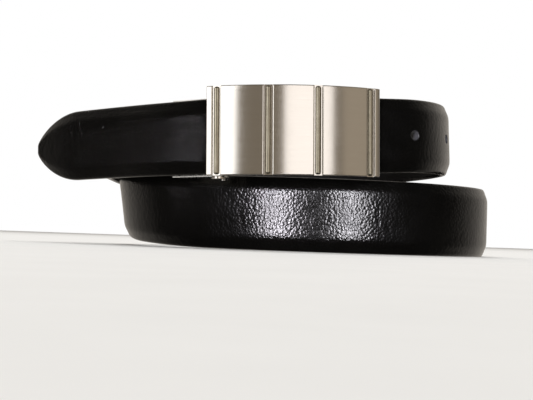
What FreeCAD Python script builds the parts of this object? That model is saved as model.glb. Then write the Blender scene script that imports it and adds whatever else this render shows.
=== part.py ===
import FreeCAD, Part
import math
import os

# A leather dress belt with a plaque buckle, buckled and laid down as a coil of two turns.
# Millimetres. +X runs along the buckle to its free end, +Y into the coil, +Z up.
# The upper turn carries the buckle. The belt comes down the far side and passes below its
# own front as the lower turn, which stands on the ground on its long edge.

# ---------------------------------------------------------------- strap
STRAP_WIDTH = 30.0
STRAP_THICK = 4.0          # at the raised middle
EDGE_THICK = 2.2           # at the two long edges
BEVEL = 4.8                # width of each sloping side
SKIN = 1.0                 # outer leather
LINING = 1.1               # inner leather
GLUE = 0.03                # glue line between two layers
TURNED_EDGE = 1.2          # outer leather turned round each long edge
CORE_INSET = 2.0           # filler, from each long edge
EDGE_ROUND = 0.4
CROWN_EASE = 1.5           # where a sloping side runs into the raised middle
CROWN_DROP = 0.12
POINT_LENGTH = 26.0        # the pointed tip
POINT_BLUNT = 1.3          # half the width left at the very end
POINT_THICK = 2.6          # thickness at the very end
POINT_POWER = 0.74         # fullness of the tip's outline
CORE_START = 12.0          # the filler stops this far short of the tip
LINING_START = 6.0

HOLE_RADIUS = 1.9
HOLE_PITCH = 25.0
HOLE_COUNT = 5
FIRST_HOLE = 111.0         # from the tip to the first hole
PRONG_HOLE = 2             # the hole that holds the prong, counted from zero

STATION_STEP = 5.0         # spacing of the cross sections along the belt
POINT_STEP = 2.0           # spacing within the pointed tip

# ---------------------------------------------------------------- the belt's run
# The tail is straight, then bends round the waist arc behind the plate.
WAIST_CENTRE = (4.6, 72.2)
WAIST_RADIUS = 67.4        # to the middle of the strap
TAIL_ANGLE = 36.5          # the tail's direction
TAIL_LENGTH = 84.6
# Each row is x, y of the strap's middle line seen from above, the height of its lower
# edge, and the outward lean of its upper edge in degrees.
WAIST_ROWS = [             # angle round the waist arc, height, lean
    (-TAIL_ANGLE, 29.0, 0.0),
    (-18.0, 29.8, 0.0),
    (0.0, 30.7, 0.0),
    (18.0, 31.8, 0.0),
    (36.0, 32.9, 0.0),
]
TAIL_ROWS = [              # share of the tail's length from its tip, height, lean
    (0.0, 26.1, 0.0),
    (0.35, 27.6, 0.0),
    (0.7, 28.5, 0.0),
]
TURN_ROWS = [
    (59.3, 25.5, 34.0, -2.0),
    (72.2, 40.5, 34.7, -3.0),
    (77.1, 58.0, 35.0, -3.0),       # right end of the upper turn
    (68.0, 85.5, 34.0, -2.0),
    (42.0, 105.6, 30.5, 0.0),
    (7.0, 113.0, 24.5, 1.0),        # back of the upper turn
    (-28.5, 107.5, 17.0, 4.0),
    (-54.0, 93.0, 10.0, 7.0),
    (-63.2, 74.0, 5.0, 9.0),        # left end, on the way down
    (-52.3, 50.5, 1.5, 6.0),
    (-23.0, 29.4, 0.1, 2.0),
    (17.0, 20.0, 0.0, 0.0),         # front of the lower turn
    (57.0, 26.8, 0.0, 0.0),
    (86.3, 47.5, 0.0, 0.0),
    (97.8, 73.0, 0.0, 0.0),         # right end of the lower turn
    (86.3, 103.5, 0.0, 0.0),
    (55.0, 125.0, 0.0, 0.0),
    (12.2, 133.0, 5.0, 0.0),        # back of the lower turn, climbing
    (-30.6, 125.0, 16.0, 1.0),
    (-62.0, 103.5, 26.0, 2.0),
    (-73.5, 75.0, 29.4, 2.0),       # left end, up again behind the tail
    (-66.0, 52.5, 29.3, 2.0),
    (-53.0, 37.5, 29.2, 1.5),
]

# ---------------------------------------------------------------- buckle
PLATE_HALF_HEIGHT = 17.6
PLATE_OUTER = 72.0         # radius of the end bands' outer face
PLATE_BACK = 70.4          # radius of the plate's back
PLATE_LEFT = -24.0         # ends of the plate, degrees round the waist arc
PLATE_RIGHT = 33.4
PLATE_ROLL = 1.7           # the plate's free end stands higher
PLATE_MIDDLE_Z = 47.15
PANEL_CROWN = 0.1          # rise of each panel above the plate's own curve
EDGE_FILLET = 0.5
GROOVE_WIDTH = 3.4
GROOVE_RADIUS = 71.2       # radius of the grooves' floor
RIB_ANGLES = [-20.6, -3.9, 11.8, 29.9]
RIB_RADIUS = 1.15
RIB_HALF_LENGTH = 17.3

PIN_ANGLE = -20.8
PIN_FROM_CENTRE = 63.25    # from the waist arc's centre
PIN_RADIUS = 1.0
PIN_FIT = 0.05             # running clearance all round
PIN_PROUD = 0.3
LUG_HALF_WIDTH = 2.0
LOWER_LUG = (-18.95, -17.75)
UPPER_LUG = (14.1, 16.1)
LUG_ROOT_RADIUS = 71.1
LUG_ROOT_TOP = -16.4

PRONG_FOOT_RADIUS = 2.3
PRONG_FOOT_THICK = 0.45
PRONG_ROOT_RADIUS = 1.2
PRONG_END_RADIUS = 0.75
PRONG_DEPTH = 3.0          # into the strap
PRONG_TILT = 14.0          # lean of the prong towards the hinge

# ---------------------------------------------------------------- clamp
# Plan distances in the clamp: along it from the hinge pin, and in from the tail.
CLAMP_ANGLE = 31.0         # direction of the fixed end
CLAMP_LENGTH = 24.0
CLAMP_LOW = -17.52
CLAMP_HIGH = 13.85
CLAMP_WALL = 0.6
CLAMP_FRONT = -1.4         # outer face of the front wall
KNUCKLE_RADIUS = 1.9
FIXED_END_START = 3.2      # the strap's cut end, from the hinge pin
FIXED_END_IN = 1.55        # the strap's middle line
FIXED_END_Z = 29.63
FIXED_END_SLOPE = 1.5
FIXED_END_LEAN = 0.9
WALL_START = 2.9
WALL_IN = 6.6

FLAP_PIN_ALONG = 5.5
FLAP_PIN_IN = 5.2
FLAP_PIN_RADIUS = 0.7
FLAP_KNUCKLE = 1.3
FLAP_END = 19.0
FLAP_FACES = (4.7, 5.7)
FLAP_LOW_GAP = 0.95        # keeps the swinging lid clear of the lower turn's top edge
FLAP_HIGH_GAP = 0.35
TOOTH_TIP = 3.85
TOOTH_BASE = 1.6
TOOTH_ALONG = [9.5, 13.0, 16.5]

UP = FreeCAD.Vector(0, 0, 1)
BIG = 400.0


def vec(x, y, z=0.0):
    return FreeCAD.Vector(x, y, z)


def on_arc(radius, degrees):
    """A point round the waist arc's centre, which is at the origin here. 0 is the front."""
    a = math.radians(degrees)
    return vec(radius * math.sin(a), -radius * math.cos(a))


def hinge_plan(along, inward):
    """A plan point in the clamp's own directions, from the waist arc's centre."""
    a = math.radians(CLAMP_ANGLE)
    pin = on_arc(PIN_FROM_CENTRE, PIN_ANGLE)
    along_way = vec(-math.cos(a), math.sin(a))
    inward_way = vec(math.sin(a), math.cos(a))
    return pin + along_way * along + inward_way * inward


# ---------------------------------------------------------------- the run, as curves
def run_rows():
    """All the rows of the belt's run, from the tip to the fixed end."""
    centre = vec(*WAIST_CENTRE)
    a = math.radians(TAIL_ANGLE)
    bend = centre + on_arc(WAIST_RADIUS, -TAIL_ANGLE)
    tip = bend + vec(-math.cos(a), math.sin(a)) * TAIL_LENGTH
    rows = []
    for share, height, lean in TAIL_ROWS:
        at = tip + (bend - tip) * share
        rows.append((at.x, at.y, height, lean))
    for angle, height, lean in WAIST_ROWS:
        at = centre + on_arc(WAIST_RADIUS, angle)
        rows.append((at.x, at.y, height, lean))
    rows += TURN_ROWS
    for along in (CLAMP_LENGTH, FIXED_END_START):
        at = centre + hinge_plan(along, FIXED_END_IN)
        fall = (along - FIXED_END_START) * math.tan(math.radians(FIXED_END_SLOPE))
        rows.append((at.x, at.y, FIXED_END_Z - fall, FIXED_END_LEAN))
    return rows


ROWS = run_rows()
PLAN = Part.BSplineCurve()
PLAN.interpolate([vec(r[0], r[1]) for r in ROWS])
PLAN_START = PLAN.FirstParameter
LENGTH = PLAN.length()
ROW_AT = [PLAN.length(PLAN_START, PLAN.parameter(vec(r[0], r[1]))) for r in ROWS]


def slopes(values):
    """Slopes at the rows that never overshoot: zero where the values turn or stay level."""
    steps = [ROW_AT[i + 1] - ROW_AT[i] for i in range(len(ROWS) - 1)]
    rises = [(values[i + 1] - values[i]) / steps[i] for i in range(len(steps))]
    found = [rises[0]]
    for i in range(1, len(steps)):
        a, b = rises[i - 1], rises[i]
        found.append(0.0 if a * b <= 0 else 2 * a * b / (a + b))
    found.append(rises[-1])
    return found


HEIGHTS = [r[2] for r in ROWS]
LEANS = [r[3] for r in ROWS]
HEIGHT_SLOPES = slopes(HEIGHTS)
LEAN_SLOPES = slopes(LEANS)


def between_rows(values, steepness, s):
    """Value and slope at distance s, by a cubic between the two rows around it."""
    i = 0
    while i < len(ROWS) - 2 and s > ROW_AT[i + 1]:
        i += 1
    step = ROW_AT[i + 1] - ROW_AT[i]
    t = min(1.0, max(0.0, (s - ROW_AT[i]) / step))
    a, b = values[i], values[i + 1]
    da, db = steepness[i] * step, steepness[i + 1] * step
    value = (
        a * (2 * t**3 - 3 * t**2 + 1)
        + da * (t**3 - 2 * t**2 + t)
        + b * (3 * t**2 - 2 * t**3)
        + db * (t**3 - t**2)
    )
    rate = (
        a * (6 * t**2 - 6 * t)
        + da * (3 * t**2 - 4 * t + 1)
        + b * (6 * t - 6 * t**2)
        + db * (3 * t**2 - 2 * t)
    )
    return value, rate / step


def frame_at(s):
    """Middle of the strap, its direction, its way up and its way out at distance s."""
    u = PLAN.parameterAtDistance(s, PLAN_START)
    plan = PLAN.value(u)
    way = PLAN.tangent(u)[0]
    low, rise = between_rows(HEIGHTS, HEIGHT_SLOPES, s)
    lean = math.radians(between_rows(LEANS, LEAN_SLOPES, s)[0])
    along = vec(way.x, way.y, rise)
    along.normalize()
    upright = UP - along * UP.dot(along)
    upright.normalize()
    outward = along.cross(upright)
    across = upright * math.cos(lean) + outward * math.sin(lean)
    out = outward * math.cos(lean) - upright * math.sin(lean)
    middle = vec(plan.x, plan.y, low + across.z * STRAP_WIDTH / 2)
    return middle, along, across, out


# ---------------------------------------------------------------- strap sections
def half_width(s):
    if s >= POINT_LENGTH:
        return STRAP_WIDTH / 2
    left = 1 - s / POINT_LENGTH
    return POINT_BLUNT + (STRAP_WIDTH / 2 - POINT_BLUNT) * (1 - left**2) ** POINT_POWER


def thickness(s):
    share = min(1.0, s / POINT_LENGTH)
    return POINT_THICK + (STRAP_THICK - POINT_THICK) * math.sin(share * math.pi / 2)


def section_sizes(s):
    """Half width, thickness, edge thickness, bevel width and easing at distance s."""
    h = half_width(s)
    share = h / (STRAP_WIDTH / 2)
    thick = thickness(s)
    edge = min(EDGE_THICK, thick - 0.3)
    return h, thick, edge, BEVEL * share, CROWN_EASE * share


def face_section(s):
    h, thick, edge, bevel, ease = section_sizes(s)
    r = min(EDGE_ROUND, 0.3 * h)
    inner = max(0.1, h - TURNED_EDGE)
    roof_edge = max(0.2, edge - SKIN)
    shoulder = min(inner - 0.02, h - bevel)
    flat = min(shoulder - 0.02, h - bevel - ease)
    right = [
        (h - bevel - ease, thick),
        (h - bevel, thick - CROWN_DROP),
        (h - r, edge),
        (h, edge - r),
        (h, r),
        (h - r, 0),
        (inner, 0),
        (inner, roof_edge),
        (shoulder, thick - SKIN - CROWN_DROP),
        (flat, thick - SKIN),
    ]
    return right + [(-p, q) for p, q in reversed(right)]


def core_section(s):
    h, thick, edge, bevel, ease = section_sizes(s)
    half = h - CORE_INSET
    slope = (thick - CROWN_DROP - edge) / (bevel - TURNED_EDGE)
    edge_top = edge - SKIN + (CORE_INSET - TURNED_EDGE) * slope - GLUE
    right = [
        (h - bevel - ease, thick - SKIN - GLUE),
        (h - bevel, thick - SKIN - CROWN_DROP - GLUE),
        (half, edge_top),
        (half, LINING + GLUE),
    ]
    return right + [(-p, q) for p, q in reversed(right)]


def lining_section(s):
    half = half_width(s) - TURNED_EDGE - GLUE
    top = min(LINING, section_sizes(s)[2] - SKIN - GLUE)
    right = [(half, top), (half, 0)]
    return right + [(-p, q) for p, q in reversed(right)]


def stations(start, end):
    """Distances of the cross sections. All layers share them, so that their facets match."""
    found = [start]
    s = 0.0
    while s < end - POINT_STEP:
        if s > start:
            found.append(s)
        s += POINT_STEP if s < POINT_LENGTH else STATION_STEP
    return found + [end]


def strap_layer(section, start, end):
    """A layer of the strap: its cross section carried along the belt's run."""
    wires = []
    for s in stations(start, end):
        middle, along, across, out = frame_at(s)
        corners = []
        for p, q in section(s):
            corners.append(middle + across * p + out * (q - STRAP_THICK / 2))
        wires.append(Part.makePolygon(corners + corners[:1]))
    return Part.makeLoft(wires, True, True)


def holes():
    """The punches for the holes, square to the strap."""
    tools = []
    for k in range(HOLE_COUNT):
        middle, along, across, out = frame_at(FIRST_HOLE + k * HOLE_PITCH)
        start = middle - out * (STRAP_THICK * 1.5)
        tools.append(Part.makeCylinder(HOLE_RADIUS, STRAP_THICK * 3, start, out))
    return Part.makeCompound(tools)


# ---------------------------------------------------------------- placing the buckle
PLATE_PLACE = FreeCAD.Placement(
    vec(WAIST_CENTRE[0], WAIST_CENTRE[1], PLATE_MIDDLE_Z),
    FreeCAD.Rotation(vec(0, 1, 0), -PLATE_ROLL),
)


def placed(shape):
    """Moves a piece from the buckle's own frame, whose Z is the hinge's direction."""
    shape = shape.copy()
    shape.Placement = PLATE_PLACE.multiply(shape.Placement)
    return shape


def prism(points, low, high):
    """An upright prism on a plan polygon, between two heights in the buckle's frame."""
    at_low = [vec(p.x, p.y, low) for p in points]
    return Part.Face(Part.makePolygon(at_low + at_low[:1])).extrude(vec(0, 0, high - low))


def post(plan, radius, low, high):
    return Part.makeCylinder(radius, high - low, vec(plan.x, plan.y, low), UP)


# ---------------------------------------------------------------- buckle pieces
def arc_edge(radius, start, end):
    return Part.Arc(
        on_arc(radius, start), on_arc(radius, (start + end) / 2), on_arc(radius, end)
    ).toShape()


def face_plate():
    groove_half = math.degrees(GROOVE_WIDTH / 2 / PLATE_OUTER)
    edges = []
    here = PLATE_LEFT
    for number, rib in enumerate(RIB_ANGLES + [None]):
        end = PLATE_RIGHT if rib is None else rib - groove_half
        crown = PANEL_CROWN if 0 < number < len(RIB_ANGLES) else 0.0
        top = on_arc(PLATE_OUTER + crown, (here + end) / 2)
        outer = Part.Arc(on_arc(PLATE_OUTER, here), top, on_arc(PLATE_OUTER, end))
        edges.append(outer.toShape())
        if rib is not None:
            far = rib + groove_half
            edges.append(Part.makeLine(on_arc(PLATE_OUTER, end), on_arc(GROOVE_RADIUS, end)))
            edges.append(arc_edge(GROOVE_RADIUS, end, far))
            edges.append(Part.makeLine(on_arc(GROOVE_RADIUS, far), on_arc(PLATE_OUTER, far)))
            here = far
    edges.append(
        Part.makeLine(on_arc(PLATE_OUTER, PLATE_RIGHT), on_arc(PLATE_BACK, PLATE_RIGHT))
    )
    edges.append(arc_edge(PLATE_BACK, PLATE_RIGHT, PLATE_LEFT))
    edges.append(
        Part.makeLine(on_arc(PLATE_BACK, PLATE_LEFT), on_arc(PLATE_OUTER, PLATE_LEFT))
    )
    outline = Part.Face(Part.Wire(edges))
    outline.translate(vec(0, 0, -PLATE_HALF_HEIGHT))
    body = outline.extrude(vec(0, 0, 2 * PLATE_HALF_HEIGHT))
    front = []
    for edge in body.Edges:
        box = edge.BoundBox
        level = box.ZLength < 0.01 and abs(abs(box.ZMax) - PLATE_HALF_HEIGHT) < 0.01
        middle = edge.valueAt((edge.FirstParameter + edge.LastParameter) / 2)
        radius = math.hypot(middle.x, middle.y)
        if level and edge.Length > 2 * GROOVE_WIDTH / 3 and radius > PLATE_OUTER - 0.1:
            front.append(edge)
    body = body.makeFillet(EDGE_FILLET, front)

    pin = on_arc(PIN_FROM_CENTRE, PIN_ANGLE)
    side = on_arc(LUG_HALF_WIDTH, PIN_ANGLE + 90)
    for (low, high), reach in ((LOWER_LUG, LUG_ROOT_RADIUS), (UPPER_LUG, LUG_ROOT_RADIUS)):
        far = on_arc(reach, PIN_ANGLE)
        body = body.fuse(prism([pin - side, pin + side, far + side, far - side], low, high))
        body = body.fuse(post(pin, LUG_HALF_WIDTH, low, high))
    inner = on_arc(PLATE_BACK, PIN_ANGLE)
    far = on_arc(LUG_ROOT_RADIUS, PIN_ANGLE)
    root = [inner - side, inner + side, far + side, far - side]
    body = body.fuse(prism(root, LOWER_LUG[0], LUG_ROOT_TOP))
    body = body.cut(post(pin, PIN_RADIUS, -BIG, BIG))
    return body.removeSplitter()


def rib(angle):
    foot = on_arc(GROOVE_RADIUS + GLUE, angle)
    side = on_arc(RIB_RADIUS, angle + 90)
    crest = on_arc(GROOVE_RADIUS + GLUE + RIB_RADIUS, angle)
    round_side = Part.Arc(foot - side, crest, foot + side).toShape()
    flat_side = Part.makeLine(foot + side, foot - side)
    section = Part.Face(Part.Wire([round_side, flat_side]))
    section.translate(vec(0, 0, -RIB_HALF_LENGTH))
    return section.extrude(vec(0, 0, 2 * RIB_HALF_LENGTH))


def prong():
    """A foot on the plate's back and a tapered stud, leaning towards the hinge."""
    middle, along, across, out = frame_at(FIRST_HOLE + PRONG_HOLE * HOLE_PITCH)
    mouth = PLATE_PLACE.inverse().multVec(middle + out * (STRAP_THICK / 2))
    angle = math.degrees(math.atan2(mouth.x, -mouth.y))
    inward = on_arc(-1, angle - PRONG_TILT)
    lean = math.cos(math.radians(PRONG_TILT))
    back = (PLATE_BACK - math.hypot(mouth.x, mouth.y)) / lean
    start = mouth - inward * back
    slope = (PRONG_ROOT_RADIUS - PRONG_END_RADIUS) / PRONG_DEPTH
    root = PRONG_ROOT_RADIUS + slope * back
    stud = Part.makeCone(root, PRONG_END_RADIUS, back + PRONG_DEPTH, start, inward)
    radial = on_arc(1, angle)
    foot_start = radial * (PLATE_BACK - PRONG_FOOT_THICK)
    foot_start.z = mouth.z
    foot = Part.makeCylinder(PRONG_FOOT_RADIUS, 2 * PRONG_FOOT_THICK, foot_start, radial)
    keep = Part.makeCylinder(
        PLATE_BACK - GLUE, BIG, vec(0, 0, -BIG / 2), UP
    )
    return stud.fuse(foot).common(keep).removeSplitter()


def hinge_pin():
    pin = on_arc(PIN_FROM_CENTRE, PIN_ANGLE)
    return post(pin, PIN_RADIUS, LOWER_LUG[0] - PIN_PROUD, UPPER_LUG[1] + PIN_PROUD)


# ---------------------------------------------------------------- clamp pieces
def clamp_box(along, inward, low, high):
    corners = [
        hinge_plan(along[0], inward[0]),
        hinge_plan(along[1], inward[0]),
        hinge_plan(along[1], inward[1]),
        hinge_plan(along[0], inward[1]),
    ]
    return prism(corners, low, high)


def clamp_body():
    pin = hinge_plan(0, 0)
    front = (CLAMP_FRONT, CLAMP_FRONT + CLAMP_WALL)
    body = clamp_box((0, CLAMP_LENGTH), front, CLAMP_LOW, CLAMP_HIGH)
    body = body.fuse(post(pin, KNUCKLE_RADIUS, CLAMP_LOW, CLAMP_HIGH))
    sides = ((CLAMP_LOW, CLAMP_LOW + CLAMP_WALL), (CLAMP_HIGH - CLAMP_WALL, CLAMP_HIGH))
    for low, high in sides:
        reach = (CLAMP_FRONT, WALL_IN)
        body = body.fuse(clamp_box((WALL_START, CLAMP_LENGTH), reach, low, high))
    flap_pin_at = hinge_plan(FLAP_PIN_ALONG, FLAP_PIN_IN)
    body = body.cut(post(pin, PIN_RADIUS + PIN_FIT, -BIG, BIG))
    body = body.cut(post(flap_pin_at, FLAP_PIN_RADIUS, -BIG, BIG))
    return body.removeSplitter()


def flap_pin():
    at = hinge_plan(FLAP_PIN_ALONG, FLAP_PIN_IN)
    return post(at, FLAP_PIN_RADIUS, CLAMP_LOW, CLAMP_HIGH)


def clamp_flap():
    low = CLAMP_LOW + CLAMP_WALL + FLAP_LOW_GAP
    high = CLAMP_HIGH - CLAMP_WALL - FLAP_HIGH_GAP
    at = hinge_plan(FLAP_PIN_ALONG, FLAP_PIN_IN)
    body = clamp_box((FLAP_PIN_ALONG, FLAP_END), FLAP_FACES, low, high)
    body = body.fuse(post(at, FLAP_KNUCKLE, low, high))
    for along in TOOTH_ALONG:
        tooth = [
            hinge_plan(along - TOOTH_BASE / 2, FLAP_FACES[0]),
            hinge_plan(along + TOOTH_BASE / 2, FLAP_FACES[0]),
            hinge_plan(along, TOOTH_TIP),
        ]
        body = body.fuse(prism(tooth, low, high))
    body = body.cut(post(at, FLAP_PIN_RADIUS + PIN_FIT, -BIG, BIG))
    return body.removeSplitter()


# ---------------------------------------------------------------- the assembly
punches = holes()
nodes = {
    "strap_face": strap_layer(face_section, 0.0, LENGTH).cut(punches),
    "strap_core": strap_layer(core_section, CORE_START, LENGTH - 0.5).cut(punches),
    "strap_lining": strap_layer(lining_section, LINING_START, LENGTH).cut(punches),
    "face_plate": placed(face_plate()),
    "prong": placed(prong()),
    "hinge_pin": placed(hinge_pin()),
    "clamp_body": placed(clamp_body()),
    "clamp_flap": placed(clamp_flap()),
    "flap_pin": placed(flap_pin()),
}
for number, rib_angle in enumerate(RIB_ANGLES, start=1):
    nodes["rib_" + str(number)] = placed(rib(rib_angle))

whole = FreeCAD.BoundBox()
for shape in nodes.values():
    whole.add(shape.optimalBoundingBox(False, False))
# The origin goes to the middle of the belt's footprint, at ground level.
to_origin = vec(-whole.Center.x, -whole.Center.y, -whole.ZMin)

os.makedirs("parts", exist_ok=True)
for name, shape in nodes.items():
    solids = shape.Solids
    moved = (solids[0] if len(solids) == 1 else shape).copy()
    moved.translate(to_origin)
    moved.exportStep(os.path.join("parts", name + ".step"))
    print(name, len(solids), round(shape.Volume, 1), shape.isValid())

hinge_at = PLATE_PLACE.multVec(hinge_plan(0, 0)) + to_origin
flap_at = PLATE_PLACE.multVec(hinge_plan(FLAP_PIN_ALONG, FLAP_PIN_IN)) + to_origin
print("belt length", round(LENGTH, 2))
print("shift", to_origin)
print("box", whole)
print("hinge", hinge_at, "direction", PLATE_PLACE.Rotation.multVec(UP))
print("flap", flap_at)
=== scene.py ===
import math

import bpy
import numpy as np
from mathutils import Matrix, Vector


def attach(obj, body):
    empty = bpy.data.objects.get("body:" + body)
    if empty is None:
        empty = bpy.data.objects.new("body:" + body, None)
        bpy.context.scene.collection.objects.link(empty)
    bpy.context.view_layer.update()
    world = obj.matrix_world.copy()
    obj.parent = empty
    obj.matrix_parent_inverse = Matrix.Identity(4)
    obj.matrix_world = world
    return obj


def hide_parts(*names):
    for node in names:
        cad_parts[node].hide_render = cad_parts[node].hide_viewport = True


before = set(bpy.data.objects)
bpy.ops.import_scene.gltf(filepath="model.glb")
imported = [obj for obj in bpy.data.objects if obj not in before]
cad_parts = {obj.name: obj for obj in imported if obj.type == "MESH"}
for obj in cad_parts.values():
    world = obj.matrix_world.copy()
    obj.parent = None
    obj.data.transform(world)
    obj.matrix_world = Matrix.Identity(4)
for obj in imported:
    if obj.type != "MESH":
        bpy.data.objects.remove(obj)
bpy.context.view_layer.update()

MM = 0.001

# ------------------------------------------------------------------ the belt's run
# The same run as the solids', in millimetres: x, y, height of the lower edge, lean.
SHIFT = np.array([2.0436, -67.4948])
STRAP_WIDTH = 30.0
STRAP_THICK = 4.0
WAIST_CENTRE = np.array([4.6, 72.2])
WAIST_RADIUS = 67.4
TAIL_ANGLE = 36.5
TAIL_LENGTH = 84.6
TAIL_ROWS = [(0.0, 26.1, 0.0), (0.35, 27.6, 0.0), (0.7, 28.5, 0.0)]
WAIST_ROWS = [
    (-TAIL_ANGLE, 29.0, 0.0),
    (-18.0, 29.8, 0.0),
    (0.0, 30.7, 0.0),
    (18.0, 31.8, 0.0),
    (36.0, 32.9, 0.0),
]
TURN_ROWS = [
    (59.3, 25.5, 34.0, -2.0),
    (72.2, 40.5, 34.7, -3.0),
    (77.1, 58.0, 35.0, -3.0),
    (68.0, 85.5, 34.0, -2.0),
    (42.0, 105.6, 30.5, 0.0),
    (7.0, 113.0, 24.5, 1.0),
    (-28.5, 107.5, 17.0, 4.0),
    (-54.0, 93.0, 10.0, 7.0),
    (-63.2, 74.0, 5.0, 9.0),
    (-52.3, 50.5, 1.5, 6.0),
    (-23.0, 29.4, 0.1, 2.0),
    (17.0, 20.0, 0.0, 0.0),
    (57.0, 26.8, 0.0, 0.0),
    (86.3, 47.5, 0.0, 0.0),
    (97.8, 73.0, 0.0, 0.0),
    (86.3, 103.5, 0.0, 0.0),
    (55.0, 125.0, 0.0, 0.0),
    (12.2, 133.0, 5.0, 0.0),
    (-30.6, 125.0, 16.0, 1.0),
    (-62.0, 103.5, 26.0, 2.0),
    (-73.5, 75.0, 29.4, 2.0),
    (-66.0, 52.5, 29.3, 2.0),
    (-53.0, 37.5, 29.2, 1.5),
]
CLAMP_ANGLE = 31.0
CLAMP_LENGTH = 24.0
FIXED_END_START = 3.2
FIXED_END_IN = 1.55
FIXED_END_Z = 29.63
FIXED_END_SLOPE = 1.5
FIXED_END_LEAN = 0.9
PIN_ANGLE = -20.8
PIN_FROM_CENTRE = 63.25
POINT_LENGTH = 26.0
HOLES = [111.0 + 25.0 * k for k in range(5)]
HOLE_RADIUS = 1.9

# ------------------------------------------------------------------ the strap's section
EDGE_THICK = 2.2
BEVEL = 4.8
CROWN_EASE = 1.5
POINT_BLUNT = 1.3
POINT_THICK = 2.6
POINT_POWER = 0.74
SKIN_BACK = 0.6          # the outer piece's back, over the lining
LAYER_GAP = 0.06
TIP_ROUND = 1.2          # how far back the tip's edge is rounded
FLAT_COLUMNS = 29
SIDE_SAMPLES = 26
HOLE_ROWS = 3            # rows and columns each side of a hole that its rings replace
HOLE_COLUMNS = 5
SLOW_WAVE = 0.14
QUICK_WAVE = 0.02
SMALL_WAVE = 0.004
# Folds from use: place along the belt, middle and half length across it, slant, bow,
# width and depth.
CREASES = [
    (20.0, -2.0, 10.0, -0.12, 0.8, 0.8, 0.06),
    (23.5, 0.5, 11.0, -0.08, 1.0, 0.8, 0.07),
    (27.0, -1.0, 10.0, -0.1, 0.5, 0.8, 0.05),
    (31.0, 1.0, 9.0, 0.05, -0.6, 0.9, 0.03),
    (484.0, 1.0, 12.0, 0.03, 1.2, 0.8, 0.045),
    (488.5, -2.0, 11.0, -0.05, 1.0, 0.8, 0.05),
    (493.0, 2.0, 10.0, 0.06, -0.8, 0.8, 0.035),
    (529.8, 7.3, 3.4, 1.6, 0.0, 0.8, 0.11),
    (543.5, 0.0, 11.0, 0.0, 2.2, 0.8, 0.06),
    (548.0, -1.5, 11.5, 0.02, 2.6, 0.8, 0.06),
    (552.5, 0.5, 11.0, 0.0, 2.4, 0.9, 0.05),
    (557.5, -1.0, 10.0, 0.03, 2.0, 0.9, 0.04),
]
FINE_STRETCHES = [(16.0, 100.0), (476.0, 562.0)]

# ------------------------------------------------------------------ the buckle
PLATE_HALF_HEIGHT = 17.6
PLATE_OUTER = 72.0
PLATE_BACK = 70.4
PLATE_LEFT = -24.0
PLATE_RIGHT = 33.4
PLATE_ROLL = 1.7
PLATE_MIDDLE_Z = 47.15
PANEL_CROWN = 0.1
PANEL_EDGE = 0.5
INNER_CORNER = 0.15
GROOVE_WIDTH = 3.4
GROOVE_RADIUS = 71.2
RIB_ANGLES = [-20.6, -3.9, 11.8, 29.9]
RIB_RADIUS = 1.15
RIB_HALF_LENGTH = 17.3
RIB_END = 0.9
RIB_GLUE = 0.03
LUG_HALF_WIDTH = 2.0
LUG_EDGE = 0.25
LOWER_LUG = (-18.95, -17.75)
UPPER_LUG = (14.1, 16.1)

# ------------------------------------------------------------------ the surfaces, in metres
LEATHER_SPECULAR = 0.35
WANDER = 0.0009          # how far the grain's cells are drawn out of place
WANDER_SCALE = 420.0
FOLD_PEBBLES = 3.6       # the size of the folds' cells, in pebbles
FINE_PER_PEBBLE = 2.2
PULL_SCALES = (620.0, 190.0, 620.0)
GRAIN_WEIGHTS = (0.95, 0.2, 0.08, 0.45)    # pebbles, folds, fine noise, pulls
BROAD_DEPTH = 0.00012
# Noise per metre round the plate, up it and through it: lines, hairs and broad bands.
BRUSH_SCALES = [(45.0, 5200.0, 45.0), (120.0, 14000.0, 120.0), (30.0, 600.0, 30.0)]
STEEL_TONES = [(0.68, 0.65, 0.61, 1), (0.76, 0.73, 0.69, 1)]
# The ribs' dark brownish tones are painted shade, standing in for the shade of the grooves the
# ribs lie in.
RIB_TONES_PAINTED_SHADE = [(0.29, 0.26, 0.2, 1), (0.37, 0.34, 0.27, 1)]
# The fittings' tones are darkened as painted shade for the parts that sit under the plate.
FITTING_TONES_PAINTED_SHADE = [(0.34, 0.33, 0.31, 1), (0.44, 0.43, 0.41, 1)]
FIBRE_TONES = [(0.05, 0.03, 0.018, 1), (0.16, 0.1, 0.06, 1)]
SOFTENED_EDGE = 0.00012
SOFTENED_ANGLE = math.radians(40)

# ------------------------------------------------------------------ the studio, in metres
CAMERA_PLACE = Vector((0.0020436, -0.4814948, 0.005))
CAMERA_PITCH = math.radians(2.03)
CAMERA_ROLL = math.radians(2.0)
CAMERA_LENS = 72.6
LIT_PLACE = Vector((0.005, -0.06, 0.045))
# Each light's azimuth, distance, height, size, power and tint.
METAL_LIGHTS = {
    "left_softbox": (-55.0, 1.1, 0.1, (1.0, 1.2), 7.5, (1.0, 0.985, 0.97)),
    "right_softbox": (18.8, 1.1, 0.1, (0.67, 1.2), 3.25, (1.0, 0.965, 0.955)),
    "warm_wall": (20.0, 1.7, 0.2, (4.0, 3.0), 7.5, (1.0, 0.84, 0.64)),
    "right_wall": (66.0, 1.6, 0.2, (1.3, 2.0), 1.4, (1.0, 0.86, 0.68)),
}
LEATHER_LIGHTS = {
    "left_strip": (-17.5, 1.2, 0.12, (0.13, 0.6), 20.0, (0.96, 0.92, 1.0)),
    "right_strip": (20.3, 1.2, 0.12, (0.11, 0.6), 14.5, (0.96, 0.94, 1.0)),
}
FLOOR_LIGHTS = {
    "overhead_softbox": (180.0, 0.3, 2.0, (2.0, 2.0), 45.0, (1.0, 1.0, 1.0)),
}
# The same for a gridded light with a narrow beam, then where it is aimed and its spread.
TAIL_LIGHT = (-66.0, 1.2, -0.04, (0.2, 0.02), 0.002, (0.96, 0.92, 1.0))
TAIL_PLACE = Vector((-0.04, -0.075, 0.058))
TAIL_SPREAD = math.radians(4.0)
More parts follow.
